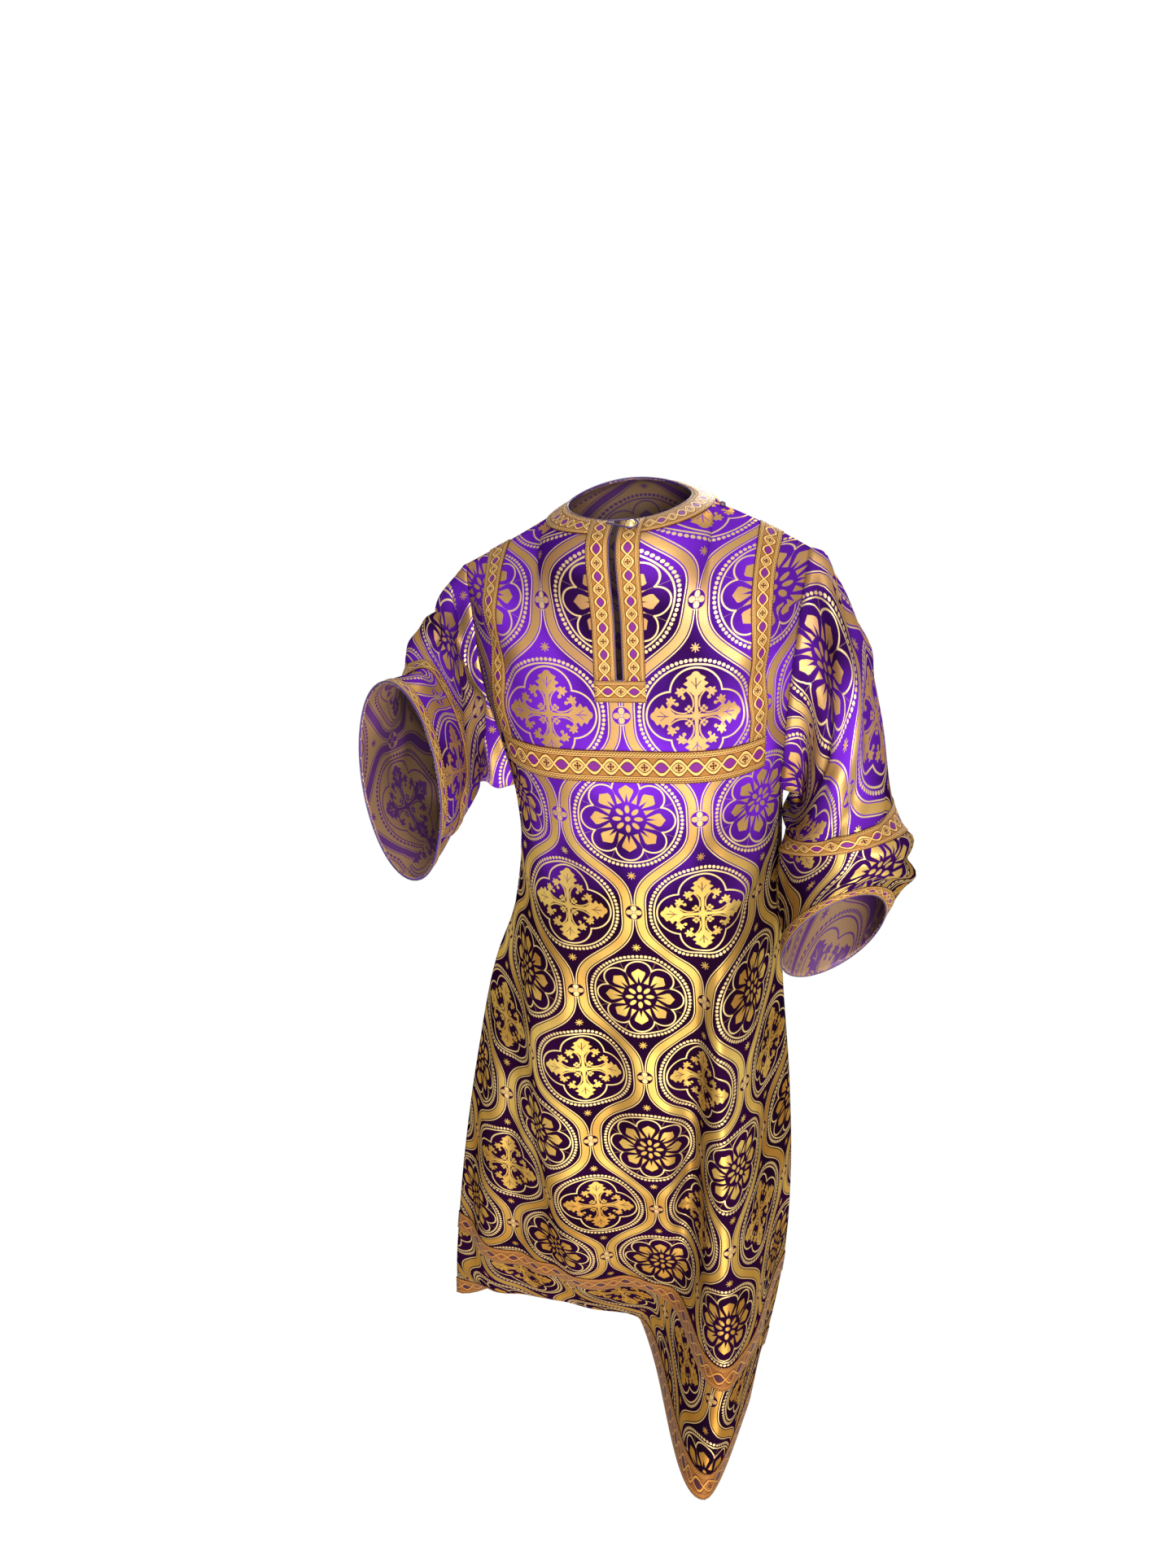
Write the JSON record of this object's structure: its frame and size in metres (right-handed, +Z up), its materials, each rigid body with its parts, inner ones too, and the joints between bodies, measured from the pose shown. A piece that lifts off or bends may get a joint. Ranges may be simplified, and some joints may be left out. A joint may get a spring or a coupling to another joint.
{
  "type": "dalmatic",
  "caption": "Long wide-sleeved tunic of brocade with galloon round neck, yoke, sleeves, skirt and hem, worn with one arm raised; open at neck, sleeves, sides and hem.",
  "frame": {"origin": "middle of the neck opening at the height of the shoulders, where the garment is held", "axes": "+Z up the body, -Y the way the wearer faces, +X towards the wearer's left"},
  "size_m": [0.7225, 0.5645, 1.4027],
  "materials": {
    "brocade": "satin",
    "galloon": "satin",
    "brass": "polished",
    "cord": "matte"
  },
  "bodies": {
    "root": {"front_panel": "brocade", "back_panel": "brocade", "sleeve_right": "brocade", "sleeve_left": "brocade", "sleeve_upper_band_right": "galloon", "sleeve_upper_band_left": "galloon", "sleeve_edge_band_right": "galloon", "sleeve_edge_band_left": "galloon", "yoke_band_right": "galloon", "yoke_band_left": "galloon", "yoke_band_front": "galloon", "yoke_band_back": "galloon", "skirt_band_front": "galloon", "skirt_band_back": "galloon", "hem_band_front": "galloon", "hem_band_back": "galloon", "slit_galloon_right": "galloon", "slit_galloon_left": "galloon", "slit_galloon_foot": "galloon", "neck_galloon": "galloon", "neck_button": "brass", "neck_loop": "cord", "shoulder_button": "cord"}
  },
  "joints": []
}
